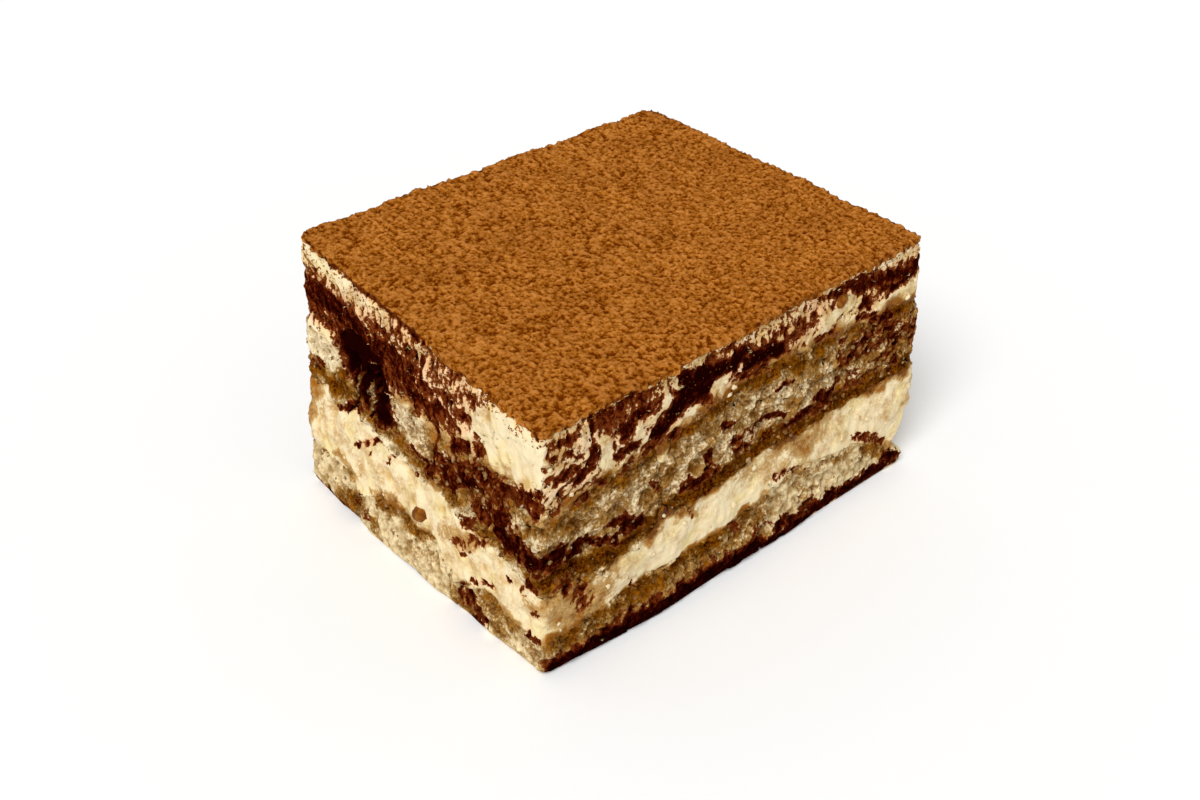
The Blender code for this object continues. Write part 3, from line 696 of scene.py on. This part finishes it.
leftWall = {
    "stainAndShade": (
        (((0, 49.7), (27, 49.3), (67, 49.9)), 0.7, 0.7),
        (((0, 48.7), (4, 48.4)), 0.9, 0.9),
        (((30, 48.6), (40, 48.4), (50, 48.6), (57, 48.7)), 1.2, 0.95),
        (((14, 47.5), (24, 46), (34, 45.5), (44, 45.5)), 4.6, 0.5),
        (((18, 42), (28, 42.5), (38, 43.5), (46, 44.5)), 3.0, 0.74),
        (((48, 43.4), (58, 43.6), (68, 43)), 2.2, 0.48),
        (((20.4, 42.8), (22, 42.3)), 1.0, 1.0),
        (((14.2, 43.2), (16, 43.8)), 0.9, 0.95),
        (((18, 40.6), (19.4, 41.2)), 0.7, 0.9),
        (((30.4, 44.6), (30.8, 41.6)), 0.9, 1.0),
        (((22, 39.6), (30, 39.6), (36, 39), (44, 39.6)), 4.0, 1.0),
        (((24, 35.4), (30, 35.4), (38, 36)), 2.8, 0.85),
        (((50, 39.8), (60, 39.8), (68, 39.8)), 3.2, 1.1),
        (((56, 36), (62, 36), (68, 36)), 2.4, 0.75),
        # painted shade of the hollow: these smears lay maroon and black over it
        (((43.4, 27.6), (44.6, 31), (46.4, 35)), 3.8, 1.7),
        (((44, 34), (47, 27), (49, 31), (48, 37)), 3.2, 1.25),
        (((45, 24.6), (48, 26.4), (52, 28.6)), 2.3, 1.0),
        (((40, 36.5), (46, 38.6), (52, 40)), 2.6, 0.9),
        (((47, 36), (50, 33.6), (52.6, 31)), 3.4, 1.2),
        (((53, 37), (56, 33.4)), 2.4, 1.0),
        (((44, 26), (50, 27.6), (54, 28.4)), 1.5, 0.8),
        (((15, 37.4), (16, 35.6)), 1.7, 0.95),
        (((19.6, 34.4), (22.6, 32.4)), 1.7, 1.0),
        (((0, 36.8), (4.6, 35.4)), 1.5, 1.1),
        (((0, 33.6), (8, 33), (15, 32.4)), 1.8, 0.85),
        (((10, 29.6), (18, 28.4), (26, 26.6)), 3.2, 0.74),
        (((3, 23.4), (10, 24.6), (16, 23.6)), 2.2, 0.8),
        (((9, 31.6), (14, 31), (18, 30.6)), 1.4, 0.9),
        (((27.2, 33), (26.6, 28)), 0.8, 0.75),
        (((17.6, 28), (21, 26), (24.6, 24)), 1.5, 1.1),
        (((22, 29), (27, 25), (30, 22)), 1.2, 0.8),
        (((8, 21.6), (10.4, 22.6), (9.6, 26.4)), 1.9, 1.2),
        (((12.4, 26), (14, 25.4)), 1.2, 0.9),
        (((0, 22.2), (6, 22.6)), 2.3, 1.1),
        (((4, 25.6), (10, 26.8), (16, 26.4)), 1.6, 0.4),
        (((2, 24.4), (7, 24)), 1.3, 0.85),
        (((11, 28), (17, 24)), 2.4, 0.52),
        (((36, 24.2), (42, 24.6)), 1.2, 0.5),
        (((30, 23.8), (34, 24.4)), 1.0, 0.8),
        (((62, 27), (66.6, 24.8)), 0.9, 0.78),
        (((50.6, 23.8), (54, 22), (57, 20.2)), 0.9, 0.95),
        (((40.2, 20), (42, 17.2)), 0.35, 0.75),
        (((44, 20.6), (46.4, 18.6), (49.6, 17.4)), 0.8, 0.72),
        (((50, 16.2), (51.6, 15.2)), 0.6, 1.0),
        (((46.6, 16.2), (47.2, 15.8)), 0.5, 0.8),
        (((33.6, 19), (34.4, 18.6)), 0.5, 0.8),
        (((17, 20), (19.6, 18.8)), 1.2, 0.8),
        (((14, 18.4), (16.6, 17), (18.4, 14.4), (22, 12.6)), 1.2, 0.55),
        (((19.8, 12.4), (20.6, 11.4)), 0.6, 1.0),
        (((12.8, 9.6), (15, 8.8)), 0.9, 0.9),
        (((16.8, 7.2), (17.8, 6.7)), 0.55, 1.2),
        (((7, 14.6), (8.2, 13.9)), 0.55, 1.25),
        (((3.4, 15.6), (3.8, 14.2)), 0.6, 0.9),
        (((0, 18), (2.6, 17.4)), 1.0, 0.85),
        (((0, 12.4), (1, 11.2)), 0.8, 0.8),
        (((14, 1.4), (17, 3.4), (20, 3)), 1.9, 0.66),
        (((14, 0), (17, -0.4)), 0.8, 1.1),
        (((2, 6.6), (-1, 6.2)), 0.9, 0.8),
        (((48, 2.4), (51, 4)), 1.2, 0.55),
        (((50, 0), (66, 0)), 0.5, 0.7),
        (((3, 46), (8, 44.6), (13, 41.6)), 3.2, -2.0),
        (((3, 40), (9, 39), (12, 39)), 3.0, -2.0),
        (((3, 36.4), (5, 35.8)), 0.8, -0.9),
        (((8, 35.6), (12, 35.6)), 0.9, -1.2),
        (((52, 46.8), (58, 47), (66, 47.6)), 1.3, -0.45),
        (((38, 45), (39.4, 42.6)), 0.7, -0.5),
        (((31, 47.4), (32, 40)), 0.5, -0.6),
        (((17, 42.4), (24, 42.2), (32, 42.4)), 1.4, -0.32),
        (((41, 45.6), (50, 46)), 1.5, -0.4),
        (((50, 45.6), (66, 45.8)), 1.5, -0.28),
        (((38, 48.9), (50, 48.9), (66, 49.2)), 1.0, 0.85),
        (((36, 50), (50, 50), (66, 50.3)), 0.9, 0.6),
        (((8, 48.8), (14, 48.8)), 0.9, -0.3),
        (((21, 48.8), (30, 48.8)), 0.9, -0.3),
        (((20, 38.6), (25, 39.6), (30, 39)), 0.9, -0.5),
    ),
    "soak": (
        (((26, 29), (42, 30)), 6.0, 0.14),
        (((55, 30), (67, 30)), 4.6, 0.03),
        (((0, 29), (26, 29)), 6.5, 0.62),
        (((15, 44), (30, 44), (48, 44)), 5.0, 0.17),
        (((50, 43), (68, 43)), 2.4, 0.3),
        (((-2, 31), (3, 31.5), (8, 31)), 2.2, 0.66),
        (((-2, 20), (10, 20.4), (16, 21)), 2.0, 0.75),
        (((22, 22), (30, 22.6), (40, 24), (48, 24.6)), 1.9, 0.7),
        (((50, 24.4), (58, 24.6), (67, 24.4)), 2.1, 0.82),
        (((50, 28.4), (56, 26.6)), 1.8, 0.6),
        (((30, 33.4), (40, 32.6)), 1.0, 0.5),
        (((44, 22), (50, 22)), 2.2, 0.18),
        (((12, 22.4), (22, 21)), 1.7, 0.3),
        (((14, 17), (22, 14.6), (26, 12)), 2.0, 0.42),
        (((23, 15), (24, 12.4)), 0.8, 0.5),
        (((31, 8), (40, 8.6), (45, 8)), 2.0, 0.74),
        (((53.6, 8.2), (60, 9.2)), 0.9, 0.5),
        (((46, 2), (50, 3.4), (57, 0.6)), 2.2, 0.66),
        (((55, 22), (62, 18), (67, 12)), 1.4, 0.3),
        (((64, 21), (67, 18), (66.6, 10)), 1.7, 0.42),
        (((6, 6.4), (15, 6)), 1.5, 0.6),
        (((10, 3.6), (22, 2)), 2.4, 0.56),
        (((0, 12.6), (2.6, 13.6)), 1.6, 0.4),
        (((0, 3), (10, 2)), 3.0, 0.2),
        (((28, 5), (34, 3)), 1.8, 0.26),
        (((0, 12), (20, 14), (45, 15), (67, 14)), 8.0, 0.16),
        (((52, 5), (66, 4)), 4.0, 0.08),
        (((64, 20), (67, 22), (67, 12)), 1.6, 0.55),
        (((5, 27.8), (7.6, 26)), 1.5, -0.42),
        (((0, 28), (2, 25.6)), 1.5, -0.4),
        (((22, 30), (26, 28.6)), 1.5, -0.35),
    ),
}

# How strongly a set of smears covers each place on a wall
def coverage(u, v, smears):
    most, least = np.zeros(len(u)), np.zeros(len(u))
    for line, radius, amount in smears:
        nearest = np.full(len(u), 1e9)
        for (u0, v0), (u1, v1) in zip(line, line[1:]):
            du, dv = u1 - u0, v1 - v0
            part = np.clip(((u - u0) * du + (v - v0) * dv) / (du * du + dv * dv), 0, 1)
            nearest = np.minimum(nearest, np.hypot(u - u0 - part * du, v - v0 - part * dv))
        cover = eased(0, 1, 1.3 - 0.85 * nearest / radius) * amount
        most = np.maximum(most, cover)
        least = np.minimum(least, cover)
    return most + least


# How far the edges of the smears wander and fray in mm, how much lower the bulging walls show them,
# and how dark each wall may get: the two hidden ones have no hollow and stay lighter than its black painted shade
smearLook = {
    "wander": {"stainAndShade": 0.9, "soak": 1.8},
    "fray": 0.6,
    "drop": 0.9,
    "darkest": {"seen": 9.0, "hiddenRight": 0.95, "hiddenLeft": 0.85},
}


# Masks of one kind at every point, blended between the walls that its normal faces
def maskAt(kind, points, normals):
    along, across, height = placesOf(points)
    height = height - smearLook["drop"]
    drift = driftAt(points, 3.4, 4.0) * smearLook["wander"][kind] + driftAt(points, 1.1, 9.0) * smearLook["fray"]
    along, across, height = along + drift[:, 0], across + drift[:, 1], height + drift[:, 2]
    length, width = walls["length"], walls["width"]
    result, total = np.zeros(len(points)), np.zeros(len(points)) + 1e-6
    for facing, u, wall, darkest in (
        (-normals[:, 1], along, rightWall, "seen"),
        (-normals[:, 0], across, leftWall, "seen"),
        (normals[:, 1], length - along, rightWall, "hiddenRight"),
        (normals[:, 0], width - across, leftWall, "hiddenLeft"),
    ):
        weight = np.clip(facing, 0, 1) ** 2
        seen = weight > 0.01
        cover = coverage(u[seen], height[seen], wall[kind])
        result[seen] += weight[seen] * np.minimum(cover, smearLook["darkest"][darkest])
        total += weight
    return result / total


print("cutting the solids fine")


def inHollow(co):
    offset = [(co[i] / mm - hollow["centre"][i]) / hollow["radii"][i] for i in range(3)]
    return sum(part * part for part in offset) < 1


# Whether a face of a solid is seen from outside: on a wall, in the hollow, or on top
def isShown(face, topToo):
    centre, normal = face.calc_center_median() / mm, face.normal
    if inHollow(centre * mm):
        return True
    if topToo and normal.z > 0.6:
        return True
    reach = 3.2  # mm that a wall may bulge inwards
    outwards = (
        (normal.x, centre.x > walls["right"] - reach),
        (-normal.x, centre.x < walls["left"] + reach),
        (normal.y, centre.y > walls["back"] - reach),
        (-normal.y, centre.y < walls["front"] + reach),
    )
    return any(facing > 0.5 and close for facing, close in outwards)


# Copy of a solid whose shown faces are cut fine, and marked by the material index 1. Its hidden faces
# stay coarse and move out a little, so that it meets its neighbours.
def finelyCut(node, spacing, closeness, topToo=False):
    bm = bmesh.new()
    bm.from_mesh(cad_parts[node].data)
    bmesh.ops.remove_doubles(bm, verts=bm.verts, dist=2e-6)
    bmesh.ops.recalc_face_normals(bm, faces=bm.faces)
    for face in bm.faces:
        face.material_index = 1 if isShown(face, topToo) else 0
    moves = []
    for vert in bm.verts:
        hidden = [face.normal for face in vert.link_faces if face.material_index == 0]
        if hidden and vert.co.z > 0.5 * mm:
            moves.append((vert, sum(hidden, Vector()).normalized() * closeness * mm))
    for vert, move in moves:
        vert.co += move
    longest = spacing * mm * fine["slack"]
    for _ in range(fine["cuts"]):
        cuts = [
            edge
            for edge in bm.edges
            if edge.calc_length() > longest and any(face.material_index for face in edge.link_faces)
        ]
        if not cuts:
            break
        bmesh.ops.subdivide_edges(bm, edges=cuts, cuts=1)
        bmesh.ops.triangulate(bm, faces=[face for face in bm.faces if len(face.verts) > 3])
        flat = [
            edge
            for edge in bm.edges
            if len(edge.link_faces) == 2
            and all(face.material_index for face in edge.link_faces)
            and edge.calc_face_angle(1) < 0.35
        ]
        bmesh.ops.beautify_fill(bm, faces=[face for face in bm.faces if face.material_index], edges=flat)
    mesh = bpy.data.meshes.new(node + "_skin")
    bm.to_mesh(mesh)
    bm.free()
    return mesh


# Points of a mesh, the corners of its shown faces, and its edges
def readMesh(mesh):
    def read(items, name, width, kind):
        values = np.empty(len(items) * width, kind)
        items.foreach_get(name, values)
        return values.reshape(-1, width)

    points = read(mesh.vertices, "co", 3, np.float64)
    shown = read(mesh.polygons, "material_index", 1, np.int32)[:, 0] > 0
    corners = read(mesh.polygons, "vertices", 3, np.int64)[shown]
    return points, corners, read(mesh.edges, "vertices", 2, np.int64)


# Normals of the shown faces at each point, and which points belong to such a face
def normalsOf(points, corners):
    a, b, c = (points[corners[:, i]] for i in range(3))
    across = np.cross(b - a, c - a)
    normals = np.zeros_like(points)
    for i in range(3):
        for axis in range(3):
            normals[:, axis] += np.bincount(corners[:, i], across[:, axis], len(points))
    size = np.linalg.norm(normals, axis=1)
    return normals / np.maximum(size, 1e-12)[:, None], size > 0


# Rounds the coarse facets of the solid off, by moves along the normals alone
def smoothed(points, corners, edges, rounds):
    normals, shown = normalsOf(points, corners)
    inside = edges[shown[edges].all(axis=1)]
    alike = (normals[inside[:, 0]] * normals[inside[:, 1]]).sum(axis=1) > 0.9
    inside = inside[alike]
    ends = np.concatenate([inside, inside[:, ::-1]])
    count = np.maximum(np.bincount(ends[:, 0], minlength=len(points)), 1)
    for _ in range(rounds):
        mean = np.stack([np.bincount(ends[:, 0], points[ends[:, 1], i], len(points)) for i in range(3)], 1)
        step = mean / count[:, None] - points
        amount = (step * normals).sum(axis=1)
        amount[count < 3] = 0
        points = points + normals * (0.5 * amount * shown)[:, None]
    return points


# Layers of relief are given as the size of the lumps in mm, the depth in mm and the seed; layers of
# strokes as thickness, reach, depth and seed
creamForm = {
    "strokes": ((2.1, 4.6, 0.65, 3.0), (0.8, 1.8, 0.22, 5.0)),
    "lumps": ((1.3, 0.24, 7.0),),
    "swell": ((4.5, 0.45, 1.0),),
    "vigour": ((5.5, 0.9, 37.0),),
    "stainDepth": 0.3,
}
spongeForm = {
    "holes": {"spacing": (1.6, 1.6, 1.3), "depth": 0.6},
    "pits": {"spacing": 0.8, "depth": 0.3},
    "tears": {"size": 2.6, "depth": 0.6},
    "lumps": ((1.8, 0.5, 15.0), (0.85, 0.32, 17.0)),
}
cocoaForm = {
    "clumps": ((1.5, 0.16, 1.0), (0.75, 0.44, 3.0), (0.45, 0.14, 5.0)),
    "swell": ((5.0, 0.18, 8.0), (2.6, 0.12, 9.0)),
    "side": ((0.9, 0.3, 12.0),),
}
laceForm = ((1.0, 2.6, 0.95, 23.0), (0.6, 1.1, 0.75, 27.0))


def layersAt(points, layers):
    return sum(depth * noiseAt(points, size, seed) for size, depth, seed in layers)


def strokeLayersAt(points, normals, layers):
    return sum(
        depth * strokesAt(points, normals, thickness, reach, seed) for thickness, reach, depth, seed in layers
    )


def creamRelief(points, normals, masks):
    form = creamForm
    vigour = (0.35 + 0.65 * facingOf(normals, 0)) * (0.75 + layersAt(points, form["vigour"]))
    strokes = strokeLayersAt(points, normals, form["strokes"])
    strokes = strokes * np.clip(vigour, 0.1, 1.2) + layersAt(points, form["lumps"])
    relief = layersAt(points, form["swell"]) + strokes
    relief = relief - form["stainDepth"] * eased(0.2, 0.6, masks["stainAndShade"])
    return relief, {"crest": np.clip(0.5 + 0.95 * strokes, 0, 1)}


def spongeRelief(points, normals, masks):
    holes, pits, tears = (spongeForm[kind] for kind in ("holes", "pits", "tears"))
    big = eased(0.42, 0.12, spotsAt(points, holes["spacing"], 2.0))
    small = eased(0.45, 0.1, spotsAt(points, pits["spacing"], 6.0))
    torn = eased(0.15, 0.5, noiseAt(points, tears["size"], 11.0))
    lumps = layersAt(points, spongeForm["lumps"])
    relief = lumps + 0.25 - holes["depth"] * big - pits["depth"] * small - tears["depth"] * torn
    # where the holes, pits and tears lie, to be darkened as painted shade
    poreShade = np.clip(0.8 * big + 0.45 * small + 0.4 * torn - 0.1, 0, 1)
    return relief, {"poreShade": poreShade, "crest": np.clip(0.5 + 1.1 * lumps, 0, 1)}


def cocoaRelief(points, normals, masks):
    clumps = layersAt(points, cocoaForm["clumps"])
    swell = layersAt(points, cocoaForm["swell"])
    side = 1 - eased(0.3, 0.7, normals[:, 2])
    relief = clumps + swell + side * (0.15 + layersAt(points, cocoaForm["side"]))
    return relief, {"crest": np.clip(0.5 + 1.2 * clumps, 0, 1)}


# The stain and painted shade as they lie: drawn out in strokes, and broken into lace where they are thin
def lacedStainAndShade(stainAndShade, points, normals):
    lace = strokeLayersAt(points, normals, laceForm)
    return stainAndShade + lace * np.clip(stainAndShade * 2.4 + 0.08, 0, 1) * (1.15 - 0.6 * np.clip(stainAndShade, 0, 1.2))


# How far a point of the cocoa lies under the rim, in mm
def rimDepth(points):
    along, across, z = sharesOf(points)
    return topAt(along, across) - z


# How far a point lies inside the nearest wall, in mm
def wallDepth(points):
    x, y = points[:, 0] / mm, points[:, 1] / mm
    return np.minimum.reduce([x - walls["left"], walls["right"] - x, y - walls["front"], walls["back"] - y])


# Puts a finished mesh into the scene as a piece
def addPiece(name, mesh, material):
    mesh.materials.append(material)
    mesh.shade_smooth()
    mesh.update()
    piece = newObject(name, mesh)
    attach(piece, "root")
    print(name, len(mesh.polygons), "triangles")
    return piece


# In mm: between the heights "foot" the relief fades in, and between the heights "rim" the points
# wander sideways less. They wander by layers of size, reach and seed. Past the depths "gap" the gaps
# between the foods and the hollow darken with painted shade. The cocoa hangs over its rim by "hang" and layers of
# size, depth and seed.
shaping = {
    "foot": (0, 2.5),
    "rim": (47.0, 50.0),
    "rimCalm": 0.75,
    "wander": ((3.0, 1.1, 20.0), (1.1, 0.5, 25.0)),
    "gap": (1.3, 4.0),
    "gapShade": 1.1,
    "hang": 0.25,
    "hangLayers": ((1.7, 1.5, 31.0), (0.8, 0.6, 33.0)),
    "mostHang": 1.2,
}


# Builds the shown piece of one node: fine relief over the solid's own form, and its masks
def dressNode(node, relief, material, closeness=0.17, topToo=False):
    mesh = finelyCut(node, fine["top" if topToo else "wall"], closeness, topToo)
    points, corners, edges = readMesh(mesh)
    points = smoothed(points, corners, edges, fine["smoothing"])
    normals, shown = normalsOf(points, corners)
    low = eased(*shaping["foot"], points[:, 2] / mm)
    wander = sum(driftAt(points, size, seed) * reach for size, reach, seed in shaping["wander"])
    wander -= normals * (wander * normals).sum(axis=1)[:, None]
    high = 1 - eased(*shaping["rim"], placesOf(points)[2]) * shaping["rimCalm"]
    points = points + wander * (low * high * shown)[:, None] * mm
    masks = {kind: np.zeros(len(points)) for kind in ("stainAndShade", "soak")}
    for kind, values in masks.items():
        values[shown] = maskAt(kind, points[shown], normals[shown])
    if not topToo:
        # painted shade: points deep in the gaps between the foods and in the hollow are darkened
        masks["stainAndShade"] += shown * eased(*shaping["gap"], wallDepth(points)) * shaping["gapShade"]
    masks["near"] = np.clip(masks["stainAndShade"], 0, 1)  # the stain and painted shade before they break into lace
    masks["stainAndShade"][shown] = lacedStainAndShade(masks["stainAndShade"][shown], points[shown], normals[shown])
    heights = np.zeros(len(points))
    heights[shown], extra = relief(points[shown], normals[shown], {k: v[shown] for k, v in masks.items()})
    points = points + normals * (heights * low * mm)[:, None]
    if topToo:
        rim = shown * (1 - eased(0.2, 0.6, normals[:, 2])) * eased(0.4, -0.4, normals[:, 2])
        broad, small = shaping["hangLayers"]
        hang = shaping["hang"] + layersAt(points, (broad,)) + layersAt(points, (small,))
        points[:, 2] -= rim * np.clip(hang, 0, shaping["mostHang"]) * eased(0.1, 0.7, rimDepth(points)) * mm
        masks["stainAndShade"] *= 1 - eased(0.25, 0.75, normals[:, 2])
    points[:, 2] = np.maximum(points[:, 2], 0)
    mesh.vertices.foreach_set("co", points.ravel())
    for kind, values in extra.items():
        masks[kind] = np.zeros(len(points))
        masks[kind][shown] = values
    for kind, values in masks.items():
        mesh.attributes.new(kind, "FLOAT", "POINT").data.foreach_set("value", values.astype(np.float32))
    mesh.polygons.foreach_set("material_index", np.zeros(len(mesh.polygons), np.int32))
    piece = addPiece(node + "_skin", mesh, material)
    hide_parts(node)
    surfaces[node] = (points[shown], normals[shown], masks["stainAndShade"][shown])


surfaces = {}  # points, normals, and stain and painted shade of each node's shown faces

dressNode("cocoa_dusting", cocoaRelief, cocoa, 0.0, topToo=True)
dressNode("top_cream", creamRelief, cream, 0.3)
dressNode("middle_cream", creamRelief, cream)
for place in ("back", "middle", "front_left", "front_right"):
    dressNode("upper_biscuit_" + place, spongeRelief, upperSponge)
    dressNode("lower_biscuit_" + place, spongeRelief, lowerSponge)

print("loose crumbs, cocoa grains and cream lumps")

# Counts of loose bits, the range of their radii in mm, and how they are chosen: by a range of heights
# in mm and a range of stain and painted shade
looseBits = {
    "sponge_crumbs": {
        "on": "biscuit", "count": 700, "radii": (0.2, 0.55), "round": 2, "heights": (4, 50), "stainAndShade": (-9, 9),
    },
    "cocoa_grains": {
        "on": "cream", "count": 1500, "radii": (0.1, 0.28), "round": 1, "heights": (24, 50), "stainAndShade": (0.1, 9),
    },
    "rim_grains": {
        "on": "cream", "count": 1900, "radii": (0.1, 0.28), "round": 1, "heights": (46.2, 52), "stainAndShade": (-9, 0.8),
    },
    "cream_lumps": {
        "on": "cream", "count": 110, "radii": (0.25, 0.65), "round": 2, "heights": (6, 47), "stainAndShade": (-9, 0.3),
    },
}


# One bit of food: a small ball, flattened against the surface and made lumpy
def addBit(bm, place, normal, radius, roundness, chance, lumpiness=0.8, thickness=(0.4, 0.75)):
    turn = Vector(normal).to_track_quat("Z", "Y").to_matrix()
    made = bmesh.ops.create_icosphere(bm, subdivisions=roundness, radius=1.0)["verts"]
    shape = Vector((chance.uniform(0.7, 1.4), chance.uniform(0.6, 1.1), chance.uniform(*thickness)))
    spin = Matrix.Rotation(chance.uniform(0, math.tau), 3, "Z")
    offset = Vector((chance.uniform(0, 90), chance.uniform(0, 90), 0))
    for vert in made:
        lump = 1 + lumpiness * noise.noise(vert.co * 1.7 + offset)
        local = spin @ Vector((vert.co.x * shape.x, vert.co.y * shape.y, vert.co.z * shape.z)) * lump
        vert.co = Vector(place) + turn @ local * radius * mm


def meshOf(name, bm):
    mesh = bpy.data.meshes.new(name)
    bm.to_mesh(mesh)
    bm.free()
    return mesh


# Points, normals, and stain and painted shade of all the nodes whose name holds a word
def surfacesOf(word):
    return [np.concatenate(part) for part in zip(*(surfaces[node] for node in surfaces if word in node))]


def scatter(name, material, chance):
    look = looseBits[name]
    places, facing, stainAndShade = surfacesOf(look["on"])
    height = places[:, 2] / mm
    fits = (height > look["heights"][0]) & (height < look["heights"][1]) & (np.abs(facing[:, 2]) < 0.8)
    fits &= (stainAndShade > look["stainAndShade"][0]) & (stainAndShade < look["stainAndShade"][1])
    fits &= (((places / mm - hollow["centre"]) / hollow["radii"]) ** 2).sum(axis=1) > 1
    chosen = np.flatnonzero(fits)
    smallest, largest = look["radii"]
    bm = bmesh.new()
    for _ in range(look["count"]):
        i = chosen[chance.randrange(len(chosen))]
        radius = smallest + (largest - smallest) * chance.random() ** 2
        addBit(bm, places[i], facing[i], radius, look["round"], chance)
    addPiece(name, meshOf(name, bm), material)


scatter("sponge_crumbs", crumbs, random.Random(3))
scatter("cocoa_grains", grains, random.Random(5))
scatter("rim_grains", dusting, random.Random(7))
scatter("cream_lumps", curds, random.Random(8))

# The caramel drops: each stands where the cream is nearest to its place, and is sunk in a little, in mm
drops = {"rightWall": ((22.6, -33.0, 44.6), 1.15), "leftWall": ((-43.5, -1.2, 13.6), 1.35)}
dropForm = {"sunk": 0.2, "round": 3, "lumpiness": 0.25, "thickness": (0.85, 0.95)}
bm = bmesh.new()
places, facing, _ = surfacesOf("cream")
for (x, y, z), radius in drops.values():
    i = np.argmin(np.linalg.norm(places / mm - (x, y, z), axis=1))
    spot = places[i] - facing[i] * dropForm["sunk"] * mm
    form = (dropForm["lumpiness"], dropForm["thickness"])
    addBit(bm, spot, facing[i], radius, dropForm["round"], random.Random(2), *form)
addPiece("caramel_drops", meshOf("caramel_drops", bm), amber)

print("floor")

floorLook = {"colour": (0.95, 0.95, 0.945), "rough": 0.7, "reach": 3.0}
bm = bmesh.new()
bmesh.ops.create_grid(bm, x_segments=2, y_segments=2, size=floorLook["reach"])
floor = newObject("floor", meshOf("floor", bm))
floorMaterial, floorTree, floorShader = newMaterial("pale_floor")
feed(floorTree, floorShader, {"Base Color": floorLook["colour"], "Roughness": floorLook["rough"]})
floor.data.materials.append(floorMaterial)
